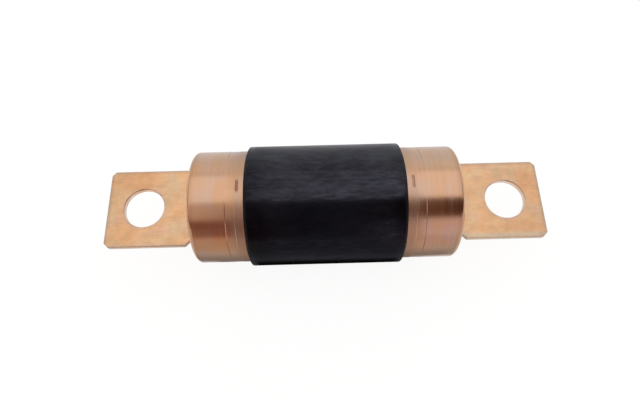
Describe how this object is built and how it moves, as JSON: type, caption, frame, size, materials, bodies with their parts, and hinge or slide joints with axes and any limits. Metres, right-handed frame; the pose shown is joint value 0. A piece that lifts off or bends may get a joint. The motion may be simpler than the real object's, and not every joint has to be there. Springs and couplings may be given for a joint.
{
  "type": "cartridge fuse with bolted blades",
  "caption": "Sand-filled cartridge fuse: black insulating tube, crimped copper ferrules and flat copper blades drilled for bolts.",
  "frame": {"origin": "centre of the fuse, on its axis, midway between the outer ends of the blades", "axes": "+X along the fuse's axis, +Y across the blades, +Z square to the blades' flat faces"},
  "size_m": [0.0812, 0.0222, 0.0222],
  "materials": {
    "tube": "satin black, fine moulded texture",
    "ferrule": "bright copper, drawn and lightly brushed round the axis",
    "blade": "rolled copper sheet, faintly mottled",
    "end_plate": "turned copper",
    "plug": "plain steel",
    "gasket": "vulcanised fibre",
    "element": "rolled silver strip",
    "sand": "packed quartz sand"
  },
  "bodies": {
    "root": {"tube": "tube", "ferrule_left": "ferrule", "ferrule_right": "ferrule", "blade_left": "blade", "blade_right": "blade", "end_plate_left": "end_plate", "end_plate_right": "end_plate", "fill_plug": "plug", "gasket_left": "gasket", "gasket_right": "gasket", "element_upper": "element", "element_lower": "element", "sand_filler": "sand"}
  },
  "joints": []
}
